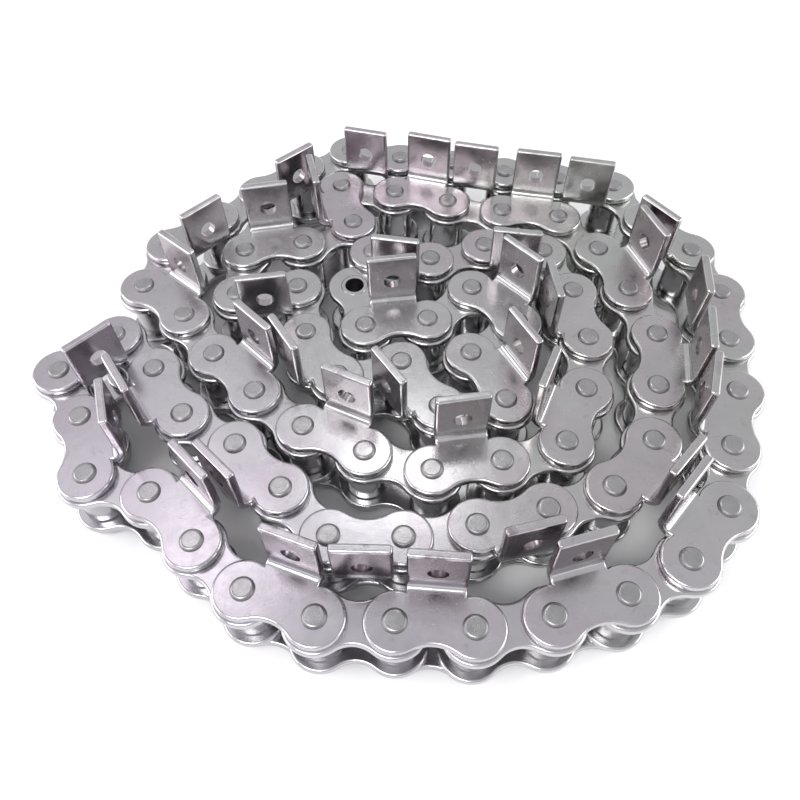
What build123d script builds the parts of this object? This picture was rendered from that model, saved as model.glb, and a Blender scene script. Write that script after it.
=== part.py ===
from build123d import *
import os
from math import asin, atan2, cos, degrees, hypot, pi, radians, sin, sqrt

# Attachment roller chain, 19.05 mm pitch, lying on its side (pins upright),
# folded double and coiled flat.  Millimetres, +Z up, origin at the centre of
# the bounding box's footprint, on the surface that the lower pin ends stand on.

# ----------------------------------------------------------- driving sizes
PITCH = 19.05            # pin to pin
PLATE_T = 2.4            # thickness of every link plate and of the lugs
PIN_D = 5.94             # bearing pin
PIN_LEN = 24.2           # over both riveted ends
BUSH_ID = 6.02           # runs on the pin, 0.04 mm radial clearance
BUSH_OD = 8.50           # pressed into the roller-link plates
ROLLER_ID = 8.62         # runs on the bush, 0.06 mm radial clearance
ROLLER_D = 11.91
ROLLER_LEN = 12.3
INNER_WIDTH = 12.6       # between the roller-link plates
SIDE_GAP = 0.15          # between a roller-link plate and a pin-link plate
PRESS_GAP = 0.01         # modelling gap of the pressed fits, radial
PIN_PLATE_R = 7.7        # half height of a pin-link plate at its pins
PIN_PLATE_WAIST = 4.9    # half height at its waist
ROLLER_PLATE_R = 8.5     # the same for a roller-link plate
ROLLER_PLATE_WAIST = 5.4
EDGE_R = 0.8             # tumbled edges of the plates
HEAD_D = 6.3             # riveted pin end
HEAD_H = 0.82            # its height above the plate

LUG_W = 14.9             # along the chain
LUG_FACE = 11.6          # pin line to the outer face of the lug
LUG_TOP = 28.2           # chain centre plane to the lug's free edge
LUG_HOLE_Z = 19.05       # chain centre plane to the lug's hole
LUG_HOLE_D = 5.2
BEND_R = 1.7             # inside radius of the lug's bend

# heights of the layers above the resting surface
Z_MID = PIN_LEN / 2
Z_IN_TOP = Z_MID + INNER_WIDTH / 2            # upper roller-link plate, underside
Z_IN_BOT = Z_MID - INNER_WIDTH / 2 - PLATE_T  # lower roller-link plate, underside
Z_OUT_TOP = Z_IN_TOP + PLATE_T + SIDE_GAP     # upper pin-link plate, underside
Z_OUT_BOT = Z_IN_BOT - SIDE_GAP - PLATE_T     # lower pin-link plate, underside

# ------------------------------------------------- the way the chain lies
# START is the open bush at the first free end.  HEADINGS are the directions
# of the 80 links in degrees, roller link and pin link in turn: in through the
# middle of the coil, round the inner turn, back at the fold on the left, and
# round the outer turn to the second free end in the middle.
START = (-14.628, 22.943)
HEADINGS = [
    -78.23, 6.61, 40.74, -47.13, -141.71, -62.36, -174.25, 123.73,
    -166.73, 122.3, 101.14, -172.49, 88.41, 9.27, 30.26, 103.59,
    -10.83, -16.26, -14.77, -11.46, -54.38, -69.85, -74.18, -100.54,
    -105.11, -133.82, -161.33, -167.16, -170.63, 177.76, 133.69, 134.82,
    147.26, 123.97, 137.11, -136.55, -58.78, -72.94, -18.02, -46.22,
    -42.03, -21.58, -3.91, -5.38, 7.77, 14.82, 26.77, 47.18,
    72.51, 71.18, 82.45, 83.14, 104.62, 127.3, 117.12, 167.35,
    167.14, 166.2, 168.25, 164.84, -150.58, -139.56, -136.8, -136.39,
    -105.04, -40.11, -54.41, -45.47, -39.94, -25.67, -18.3, 7.1,
    17.71, 65.36, 79.66, 95.67, 112.53, 170.86, -162.22, 169.34,
]

joint = [START]
for heading in HEADINGS:
    x, y = joint[-1]
    joint.append((x + PITCH * cos(radians(heading)), y + PITCH * sin(radians(heading))))
PAIRS = len(HEADINGS) // 2      # 40 roller links and 40 pin links


def place(n):
    """Where link n (0 to 79) lies: its middle and its direction."""
    (xa, ya), (xb, yb) = joint[n], joint[n + 1]
    return Location((0.5 * (xa + xb), 0.5 * (ya + yb), 0), (0, 0, 1), HEADINGS[n])


def roller_link(k):
    return 2 * (k - 1)           # k from 1 to 40


def pin_link(k):
    return 2 * (k - 1) + 1       # k from 1 to 40


# ------------------------------------------------------------ link plates
H = PITCH / 2


def waist_arc(r, w):
    """Radius, centre height and tangent point of the hollow between two lobes."""
    rc = (H * H + w * w - r * r) / (2 * (r - w))
    yc = w + rc
    return rc, yc, H * rc / (r + rc), yc - rc * yc / (r + rc)


def lobe(cx, r, a0, a1):
    """Arc of a lobe's edge from angle a0 to a1, anticlockwise, in radians."""
    m = 0.5 * (a0 + a1)
    return ThreePointArc(*[(cx + r * cos(a), r * sin(a)) for a in (a0, m, a1)])


def plate(r, w, hole_d, z0):
    """A figure-eight link plate with two holes and tumbled edges."""
    rc, yc, xt, yt = waist_arc(r, w)
    a = atan2(yt, xt - H)
    edges = [
        lobe(H, r, -a, a),
        ThreePointArc((xt, yt), (0, w), (-xt, yt)),
        lobe(-H, r, pi - a, pi + a),
        ThreePointArc((-xt, -yt), (0, -w), (xt, -yt)),
    ]
    body = extrude(make_face(Wire(edges)), PLATE_T).moved(Location((0, 0, z0)))
    rims = body.edges().filter_by(lambda e: abs(e.bounding_box().size.Z) < 1e-3)
    body = fillet(rims, EDGE_R)
    for s in (-1, 1):
        body -= Cylinder(hole_d / 2, 3 * PLATE_T).moved(Location((s * H, 0, z0)))
    return body.solid() if hasattr(body, "solid") else body


def lug_plate(z0):
    """Upper pin-link plate whose one side is carried out and bent up as a lug."""
    r, w = PIN_PLATE_R, PIN_PLATE_WAIST
    rc, yc, xt, yt = waist_arc(r, w)
    a = atan2(yt, xt - H)
    xl = LUG_W / 2
    yl = sqrt(r * r - (H - xl) ** 2)
    au = atan2(yl, xl - H)
    y_bend = LUG_FACE - PLATE_T - BEND_R
    edges = [
        lobe(H, r, -a, au),
        Line((xl, yl), (xl, y_bend)),
        Line((xl, y_bend), (-xl, y_bend)),
        Line((-xl, y_bend), (-xl, yl)),
        lobe(-H, r, pi - au, pi + a),
        ThreePointArc((-xt, -yt), (0, -w), (xt, -yt)),
    ]
    base = extrude(make_face(Wire(edges)), PLATE_T).moved(Location((0, 0, z0)))
    rims = [
        e
        for e in base.edges()
        if abs(e.bounding_box().size.Z) < 1e-3
        and abs(e.center().Y - y_bend) > 1e-3
    ]
    base = fillet(rims, EDGE_R)
    # the bend and the upright lug share one rounded section
    z_lug = z0 + PLATE_T + BEND_R
    lug_h = Z_MID + LUG_TOP - z_lug
    sec = Plane(origin=(0, y_bend, z0 + PLATE_T / 2), x_dir=(1, 0, 0), z_dir=(0, 1, 0))
    sketch = sec * RectangleRounded(LUG_W, PLATE_T, EDGE_R)
    axis = Axis((0, y_bend, z_lug), (1, 0, 0))
    bend = revolve(sketch, axis, 90)
    up = Plane(
        origin=(0, LUG_FACE - PLATE_T / 2, z_lug), x_dir=(1, 0, 0), z_dir=(0, 0, 1)
    )
    lug = extrude(up * RectangleRounded(LUG_W, PLATE_T, EDGE_R), lug_h)
    top = [e for e in lug.edges() if abs(e.center().Z - (z_lug + lug_h)) < 1e-3]
    lug = fillet(top, 0.7)
    body = base + bend + lug
    for s in (-1, 1):
        body -= Cylinder(PIN_D / 2 + PRESS_GAP, 3 * PLATE_T).moved(
            Location((s * H, 0, z0))
        )
    body -= Cylinder(LUG_HOLE_D / 2, 3 * PLATE_T).moved(
        Location((0, LUG_FACE, Z_MID + LUG_HOLE_Z), (1, 0, 0), 90)
    )
    return body.solid() if hasattr(body, "solid") else body


# ------------------------------------------------- pins, bushes and rollers
def turned(points):
    """A turned piece: its half section (radius, height) spun about Z."""
    pts = [(r, 0, z) for r, z in points]
    face = make_face(Polyline(*pts, close=True))
    return revolve(face, Axis.Z, 360).solid()


def make_pin():
    """Plain pin with both ends spread by riveting into low, round-edged heads."""
    r, rh, h, flat = PIN_D / 2, HEAD_D / 2, HEAD_H, 2.1
    rise = h - 0.07                                  # height of the rounded edge
    ra = ((rh - flat) ** 2 + rise**2) / (2 * rise)   # its radius, tangent to the flat
    a = (-pi / 2 + atan2(rise - ra, rh - flat)) / 2
    mr, mz = flat + ra * cos(a), ra + ra * sin(a)
    top = PIN_LEN
    outline = [
        Line((0, 0, 0), (flat, 0, 0)),
        ThreePointArc((flat, 0, 0), (mr, 0, mz), (rh, 0, rise)),
        Line((rh, 0, rise), (rh, 0, h)),
        Line((rh, 0, h), (r, 0, h)),
        Line((r, 0, h), (r, 0, top - h)),
        Line((r, 0, top - h), (rh, 0, top - h)),
        Line((rh, 0, top - h), (rh, 0, top - rise)),
        ThreePointArc((rh, 0, top - rise), (mr, 0, top - mz), (flat, 0, top)),
        Line((flat, 0, top), (0, 0, top)),
        Line((0, 0, top), (0, 0, 0)),
    ]
    return revolve(make_face(outline), Axis.Z, 360).solid()


def tube(ro, ri, z0, z1, c):
    """A bush or roller with its outer corners broken by c."""
    return turned(
        [
            (ri, z0), (ro - c, z0), (ro, z0 + c),
            (ro, z1 - c), (ro - c, z1), (ri, z1),
        ]
    )


ROLLER_Z0 = Z_MID - ROLLER_LEN / 2
pin_0 = make_pin()
bush_0 = tube(BUSH_OD / 2, BUSH_ID / 2, Z_IN_BOT, Z_IN_TOP + PLATE_T, 0.2)
roller_0 = tube(ROLLER_D / 2, ROLLER_ID / 2, ROLLER_Z0, ROLLER_Z0 + ROLLER_LEN, 0.6)
roller_plate_0 = plate(ROLLER_PLATE_R, ROLLER_PLATE_WAIST, BUSH_OD + 2 * PRESS_GAP, 0)
plain_plate_0 = plate(PIN_PLATE_R, PIN_PLATE_WAIST, PIN_D + 2 * PRESS_GAP, Z_OUT_BOT)
lug_plate_0 = lug_plate(Z_OUT_TOP)
upper_roller_plate_0 = roller_plate_0.moved(Location((0, 0, Z_IN_TOP)))
lower_roller_plate_0 = roller_plate_0.moved(Location((0, 0, Z_IN_BOT)))


def at_joint(piece, n):
    return piece.moved(Location((joint[n][0], joint[n][1], 0)))


# ------------------------------------------------------------ sub-assemblies
nodes = {}

# first free end: an open roller link, then the first pin link
nodes["end_roller_link_upper_plate"] = [upper_roller_plate_0.moved(place(roller_link(1)))]
nodes["end_roller_link_lower_plate"] = [lower_roller_plate_0.moved(place(roller_link(1)))]
nodes["end_roller_link_bushes"] = [at_joint(bush_0, 0), at_joint(bush_0, 1)]
nodes["end_roller_01"] = [at_joint(roller_0, 0)]
nodes["end_roller_02"] = [at_joint(roller_0, 1)]
nodes["first_pin_link_lug_plate"] = [lug_plate_0.moved(place(pin_link(1)))]
nodes["first_pin_link_plain_plate"] = [plain_plate_0.moved(place(pin_link(1)))]
nodes["first_pin_link_pins"] = [at_joint(pin_0, 1), at_joint(pin_0, 2)]

# second free end: the last pin link
nodes["last_pin_link_lug_plate"] = [lug_plate_0.moved(place(pin_link(PAIRS)))]
nodes["last_pin_link_plain_plate"] = [plain_plate_0.moved(place(pin_link(PAIRS)))]
nodes["last_pin_link_pins"] = [at_joint(pin_0, 79), at_joint(pin_0, 80)]

# the coil between them
coil_pin_links = range(2, PAIRS)
coil_roller_links = range(2, PAIRS + 1)
nodes["lug_plates"] = [lug_plate_0.moved(place(pin_link(k))) for k in coil_pin_links]
nodes["plain_pin_link_plates"] = [
    plain_plate_0.moved(place(pin_link(k))) for k in coil_pin_links
]
nodes["pins"] = [
    at_joint(pin_0, n) for k in coil_pin_links for n in (pin_link(k), pin_link(k) + 1)
]
# the free end nests in the waist of the fifth roller link
nodes["fifth_roller_link_upper_plate"] = [upper_roller_plate_0.moved(place(roller_link(5)))]
nodes["fifth_roller_link_lower_plate"] = [lower_roller_plate_0.moved(place(roller_link(5)))]
nodes["upper_roller_link_plates"] = [
    upper_roller_plate_0.moved(place(roller_link(k))) for k in coil_roller_links if k != 5
]
nodes["lower_roller_link_plates"] = [
    lower_roller_plate_0.moved(place(roller_link(k))) for k in coil_roller_links if k != 5
]
nodes["bushes"] = [
    at_joint(bush_0, n)
    for k in coil_roller_links
    for n in (roller_link(k), roller_link(k) + 1)
]
# the rollers of the outer turn each run on their own; the others are hemmed in
outer_turn = range(19, 36)
number = 0
nodes["inner_turn_rollers"] = []
for k in coil_roller_links:
    for n in (roller_link(k), roller_link(k) + 1):
        if k in outer_turn:
            number += 1
            nodes[f"outer_turn_roller_{number:02d}"] = [at_joint(roller_0, n)]
        else:
            nodes["inner_turn_rollers"].append(at_joint(roller_0, n))

os.makedirs("parts", exist_ok=True)
for name, solids in nodes.items():
    shape = solids[0] if len(solids) == 1 else Compound(children=solids)
    shape.label = name
    export_step(shape, f"parts/{name}.step")
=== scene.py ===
import math

import bpy
from mathutils import Matrix, Vector

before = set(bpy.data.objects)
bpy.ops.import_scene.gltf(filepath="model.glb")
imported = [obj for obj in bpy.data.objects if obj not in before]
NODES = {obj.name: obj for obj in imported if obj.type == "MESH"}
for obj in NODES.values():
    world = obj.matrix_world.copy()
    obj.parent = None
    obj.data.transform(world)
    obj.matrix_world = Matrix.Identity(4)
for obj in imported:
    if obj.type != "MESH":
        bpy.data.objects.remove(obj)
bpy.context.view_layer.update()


# ------------------------------------------------------------------ materials
def new_material(name):
    m = bpy.data.materials.new(name)
    m.use_nodes = True
    t = m.node_tree
    t.nodes.clear()
    out = t.nodes.new("ShaderNodeOutputMaterial")
    bsdf = t.nodes.new("ShaderNodeBsdfPrincipled")
    t.links.new(bsdf.outputs["BSDF"], out.inputs["Surface"])
    return m, t, bsdf


def node(t, kind, **values):
    n = t.nodes.new(kind)
    for k, v in values.items():
        setattr(n, k, v)
    return n


def noise(t, vec, scale, detail=3.0, rough=0.55, distortion=0.0):
    n = node(t, "ShaderNodeTexNoise")
    n.inputs["Scale"].default_value = scale
    n.inputs["Detail"].default_value = detail
    n.inputs["Roughness"].default_value = rough
    n.inputs["Distortion"].default_value = distortion
    t.links.new(vec, n.inputs["Vector"])
    return n.outputs["Fac"]


def remap(t, fac, lo, hi, a=0.3, b=0.7):
    n = node(t, "ShaderNodeMapRange")
    n.inputs["From Min"].default_value = a
    n.inputs["From Max"].default_value = b
    n.inputs["To Min"].default_value = lo
    n.inputs["To Max"].default_value = hi
    t.links.new(fac, n.inputs["Value"])
    return n.outputs["Result"]


def ramp(t, fac, stops):
    n = node(t, "ShaderNodeValToRGB")
    els = n.color_ramp.elements
    while len(els) < len(stops):
        els.new(0.5)
    for e, (p, c) in zip(els, stops):
        e.position = p
        e.color = (c[0], c[1], c[2], 1)
    t.links.new(fac, n.inputs["Fac"])
    return n.outputs["Color"]


def math_node(t, op, a, b):
    n = node(t, "ShaderNodeMath", operation=op)
    for i, v in enumerate((a, b)):
        if isinstance(v, (int, float)):
            n.inputs[i].default_value = v
        else:
            t.links.new(v, n.inputs[i])
    return n.outputs[0]


def stretched(t, scale):
    tc = node(t, "ShaderNodeTexCoord")
    mp = node(t, "ShaderNodeMapping")
    mp.inputs["Scale"].default_value = scale
    t.links.new(tc.outputs["Object"], mp.inputs["Vector"])
    return mp.outputs["Vector"]


def steel(name, dark, light, rough_lo, rough_hi, cloud=60.0, grain=2600.0,
          grain_depth=0.00002, dent_depth=0.0, streak=None, stain=0.0, tint=0.0,
          upright=None, collar=None):
    """Tumbled stainless steel: broad clouding in the colour, a fine satin grain in the
    gloss and relief, the odd handling mark and, where asked, brushed streaks."""
    m, t, b = new_material(name)
    b.inputs["Metallic"].default_value = 1.0
    tc = node(t, "ShaderNodeTexCoord").outputs["Object"]
    clouds = noise(t, tc, cloud, 4.0, 0.6, 0.4)
    base = ramp(t, clouds, [(0.30, dark), (0.70, light)])
    if tint:
        # faint lilac heat tint in broad patches
        patch = noise(t, tc, 22.0, 2.0, 0.5, 0.3)
        mix = node(t, "ShaderNodeMixRGB", blend_type="MULTIPLY")
        t.links.new(remap(t, patch, 0.0, tint, 0.50, 0.66), mix.inputs["Fac"])
        t.links.new(base, mix.inputs["Color1"])
        mix.inputs["Color2"].default_value = (1.0, 0.93, 0.98, 1)
        base = mix.outputs["Color"]
        # the steel leans to lilac over the front left links and to a warm grey over the right ones
        at = node(t, "ShaderNodeSeparateXYZ")
        t.links.new(tc, at.inputs["Vector"])
        drift = remap(t, noise(t, tc, 14.0, 2.0, 0.5), -0.016, 0.016, 0.35, 0.65)
        east = math_node(t, "ADD", at.outputs["X"], drift)
        along = math_node(t, "ADD", math_node(t, "MULTIPLY", east, -0.6),
                          math_node(t, "MULTIPLY", at.outputs["Y"], -0.8))
        warm = math_node(t, "MULTIPLY", remap(t, east, 0.0, 1.0, 0.005, 0.055),
                         remap(t, at.outputs["Y"], 0.0, 1.0, -0.075, -0.045))
        for amount, hue in ((remap(t, along, 0.0, 1.0, 0.025, 0.085), (0.975, 0.950, 1.0, 1)),
                            (warm, (0.980, 1.0, 0.965, 1))):
            mix = node(t, "ShaderNodeMixRGB", blend_type="MULTIPLY")
            t.links.new(amount, mix.inputs["Fac"])
            t.links.new(base, mix.inputs["Color1"])
            mix.inputs["Color2"].default_value = hue
            base = mix.outputs["Color"]
    if stain:
        spots = noise(t, tc, 420.0, 2.0, 0.5, 0.8)
        mix = node(t, "ShaderNodeMixRGB", blend_type="MULTIPLY")
        k = remap(t, spots, 0.0, stain, 0.60, 0.74)
        t.links.new(k, mix.inputs["Fac"])
        t.links.new(base, mix.inputs["Color1"])
        mix.inputs["Color2"].default_value = (0.62, 0.58, 0.60, 1)
        base = mix.outputs["Color"]
    if upright:
        # painted shade: the upright face of each formed lug is darkened in colour for the darker reflections it
        # shows, short of its top edge, which keeps the plate's tone
        z = node(t, "ShaderNodeSeparateXYZ")
        t.links.new(tc, z.inputs["Vector"])
        wavy = math_node(t, "ADD", z.outputs["Z"], remap(t, noise(t, tc, 260.0), -0.0006, 0.0006))
        rise = remap(t, wavy, 0.0, 1.0, upright[0], upright[1])
        fall = remap(t, wavy, 1.0, 0.0, upright[2], upright[3])
        lug_face_shade = math_node(t, "MULTIPLY", rise, fall)
        mix = node(t, "ShaderNodeMixRGB", blend_type="MULTIPLY")
        t.links.new(lug_face_shade, mix.inputs["Fac"])
        t.links.new(base, mix.inputs["Color1"])
        mix.inputs["Color2"].default_value = (0.80, 0.76, 0.775, 1)
        base = mix.outputs["Color"]
        # painted shade: the lug faces towards the front are darkened further
        front = math_node(t, "MULTIPLY", lug_face_shade, remap(t, z.outputs["Y"], 1.0, 0.0, -0.070, -0.035))
        mix = node(t, "ShaderNodeMixRGB", blend_type="MULTIPLY")
        t.links.new(front, mix.inputs["Fac"])
        t.links.new(base, mix.inputs["Color1"])
        mix.inputs["Color2"].default_value = (0.72, 0.70, 0.71, 1)
        base = mix.outputs["Color"]
        # painted shade: the few lugs at the very front and the row at the back are darkened most
        side = math_node(t, "ABSOLUTE", math_node(t, "ADD", z.outputs["X"], 0.002), 0.0)
        spot = math_node(t, "MULTIPLY", front, remap(t, side, 1.0, 0.0, 0.017, 0.028))
        mix = node(t, "ShaderNodeMixRGB", blend_type="MULTIPLY")
        t.links.new(spot, mix.inputs["Fac"])
        t.links.new(base, mix.inputs["Color1"])
        mix.inputs["Color2"].default_value = (0.56, 0.53, 0.54, 1)
        base = mix.outputs["Color"]
        back = math_node(t, "MULTIPLY", lug_face_shade, remap(t, z.outputs["Y"], 0.0, 1.0, 0.045, 0.070))
        mix = node(t, "ShaderNodeMixRGB", blend_type="MULTIPLY")
        t.links.new(back, mix.inputs["Fac"])
        t.links.new(base, mix.inputs["Color1"])
        mix.inputs["Color2"].default_value = (0.80, 0.79, 0.80, 1)
        base = mix.outputs["Color"]
    rim = None
    if collar:
        # painted shade: the rounded flank of each riveted end is darkened in colour for the dark reflection it
        # shows, and made rougher
        z = node(t, "ShaderNodeSeparateXYZ")
        t.links.new(tc, z.inputs["Vector"])
        rim = remap(t, z.outputs["Z"], 1.0, 0.0, collar[0], collar[1])
        mix = node(t, "ShaderNodeMixRGB", blend_type="MULTIPLY")
        t.links.new(rim, mix.inputs["Fac"])
        t.links.new(base, mix.inputs["Color1"])
        mix.inputs["Color2"].default_value = (0.55, 0.54, 0.55, 1)
        base = mix.outputs["Color"]
    t.links.new(base, b.inputs["Base Color"])

    fine = noise(t, tc, grain, 2.0, 0.6)
    mid = noise(t, tc, 300.0, 3.0, 0.6)
    rough = math_node(t, "MULTIPLY", fine, 0.35)
    rough = math_node(t, "ADD", rough, math_node(t, "MULTIPLY", mid, 0.65))
    gloss = remap(t, rough, rough_lo, rough_hi, 0.35, 0.65)
    if rim is not None:
        gloss = math_node(t, "ADD", gloss, math_node(t, "MULTIPLY", rim, 0.22))
    t.links.new(gloss, b.inputs["Roughness"])

    height = math_node(t, "MULTIPLY", fine, 1.0)
    if streak:
        lines = noise(t, stretched(t, streak), 1.0, 3.0, 0.6)
        height = math_node(t, "ADD", height, math_node(t, "MULTIPLY", lines, 1.3))
    bump = node(t, "ShaderNodeBump")
    bump.inputs["Strength"].default_value = 0.6
    bump.inputs["Distance"].default_value = grain_depth
    t.links.new(height, bump.inputs["Height"])
    normal = bump.outputs["Normal"]
    if dent_depth:
        soft = noise(t, tc, 120.0, 2.0, 0.5)
        b2 = node(t, "ShaderNodeBump")
        b2.inputs["Strength"].default_value = 1.0
        b2.inputs["Distance"].default_value = dent_depth
        t.links.new(soft, b2.inputs["Height"])
        t.links.new(normal, b2.inputs["Normal"])
        normal = b2.outputs["Normal"]
    t.links.new(normal, b.inputs["Normal"])
    return m


plate_steel = steel("pin_plate_steel", (0.50, 0.50, 0.50), (0.575, 0.575, 0.575), 0.20, 0.28,
                    dent_depth=0.00004, tint=0.3)
lug_steel = steel("lug_plate_steel", (0.50, 0.495, 0.50), (0.58, 0.575, 0.58), 0.19, 0.28,
                  dent_depth=0.00006, stain=0.25, tint=0.8, upright=(0.0262, 0.0275, 0.0394, 0.0401))
roller_plate_steel = steel("roller_plate_steel", (0.505, 0.505, 0.505), (0.58, 0.58, 0.58), 0.18, 0.27,
                           dent_depth=0.00004, tint=0.4)
pin_steel = steel("pin_steel", (0.37, 0.365, 0.37), (0.47, 0.465, 0.47), 0.20, 0.30, cloud=240.0,
                  collar=(0.02402, 0.02414))
bush_steel = steel("bush_steel", (0.50, 0.49, 0.50), (0.58, 0.57, 0.58), 0.18, 0.26, cloud=200.0)
roller_steel = steel("roller_steel", (0.57, 0.565, 0.57), (0.65, 0.645, 0.65), 0.09, 0.17, cloud=150.0,
                     streak=(60.0, 60.0, 1800.0))
# painted shade: a darker copy of the roller steel for the rollers of the outer turn, for the darker reflections
# they show
shaded_roller_steel = steel("shaded_roller_steel", (0.42, 0.41, 0.42), (0.50, 0.49, 0.50), 0.12, 0.20, cloud=150.0,
                          streak=(60.0, 60.0, 1800.0))


def finish_for(name):
    if "lug_plate" in name:
        return lug_steel
    if "bushes" in name:
        return bush_steel
    if "pins" in name:
        return pin_steel
    if "outer_turn_roller" in name:
        return shaded_roller_steel
    if name.startswith("end_roller_0") or name == "inner_turn_rollers":
        return roller_steel
    if "roller_link" in name:
        return roller_plate_steel
    return plate_steel


for name, ob in NODES.items():
    ob.data.materials.clear()
    ob.data.materials.append(finish_for(name))

# ---------------------------------------------------------------------- stage
mesh = bpy.data.meshes.new("floor")
s = 3.0
mesh.from_pydata([(-s, -s, 0), (s, -s, 0), (s, s, 0), (-s, s, 0)], [], [(0, 1, 2, 3)])
floor = bpy.data.objects.new("floor", mesh)
floor.location.z = -0.00005
bpy.context.scene.collection.objects.link(floor)
fm, ft, fb = new_material("floor_white")
fb.inputs["Roughness"].default_value = 0.9
fb.inputs["Specular IOR Level"].default_value = 0.1
paper = noise(ft, node(ft, "ShaderNodeTexCoord").outputs["Object"], 40.0)
ft.links.new(ramp(ft, paper, [(0.3, (0.93, 0.93, 0.93)), (0.7, (0.95, 0.95, 0.95))]), fb.inputs["Base Color"])
mesh.materials.append(fm)

# --------------------------------------------------------------------- lights
world = bpy.data.worlds.new("studio")
bpy.context.scene.world = world
world.use_nodes = True
bg = world.node_tree.nodes["Background"]
bg.inputs["Color"].default_value = (0.97, 0.97, 1.0, 1)
# a light tent: brighter round the horizon than overhead
sky = node(world.node_tree, "ShaderNodeSeparateXYZ")
world.node_tree.links.new(node(world.node_tree, "ShaderNodeTexCoord").outputs["Generated"], sky.inputs["Vector"])
world.node_tree.links.new(remap(world.node_tree, sky.outputs["Z"], 1.25, 0.71, 0.05, 0.42), bg.inputs["Strength"])


def softbox(name, loc, target, size, radiance, color=(1, 1, 1)):
    d = bpy.data.lights.new(name, "AREA")
    d.shape = "RECTANGLE"
    d.size, d.size_y = size
    # an area light of power P shows the radiance P / (pi^2 * area) W/m2/sr, times 4 for its lobe
    d.energy = radiance * math.pi * size[0] * size[1]
    d.color = color
    o = bpy.data.objects.new(name, d)
    bpy.context.scene.collection.objects.link(o)
    o.location = loc
    o.rotation_euler = (Vector(target) - Vector(loc)).to_track_quat("-Z", "Y").to_euler()
    o.visible_camera = False
    return o


softbox("key", (-0.36, -0.66, 1.06), (0, -0.02, 0), (0.62, 0.42), 8.5)
softbox("left_side", (-1.10, -0.10, 0.50), (-0.05, 0, 0), (1.0, 0.55), 3.4, (1.0, 0.97, 1.0))
softbox("right_side", (1.10, -0.10, 0.50), (0.05, 0, 0), (1.0, 0.55), 3.4)
softbox("rear_centre", (-0.01, 0.275, 0.62), (-0.005, -0.045, 0), (0.13, 0.10), 4.0)
softbox("rear_left", (-0.30, 0.25, 0.62), (-0.07, -0.04, 0), (0.34, 0.26), 0.40, (1.0, 0.93, 1.0))
softbox("low_left", (-0.22, 0.15, 0.62), (-0.05, -0.07, 0), (0.16, 0.12), 1.6, (1.0, 0.89, 0.99))

# --------------------------------------------------------------------- camera
cam_data = bpy.data.cameras.new("camera")
cam_data.sensor_fit = "HORIZONTAL"
cam_data.sensor_width = 36.0
cam_data.lens = 740.4 / 800 * 36.0
cam_data.clip_start = 0.01
cam = bpy.data.objects.new("camera", cam_data)
bpy.context.scene.collection.objects.link(cam)
cam.matrix_world = (
    Matrix.Translation((-0.00058, -0.141315, 0.196536))
    @ Matrix.Rotation(math.pi / 2 - 0.97405, 4, "X")
    @ Matrix.Rotation(-0.01484, 4, "Z")
)
bpy.context.scene.camera = cam
bpy.context.scene.view_settings.view_transform = "Standard"
bpy.context.scene.view_settings.look = "None"
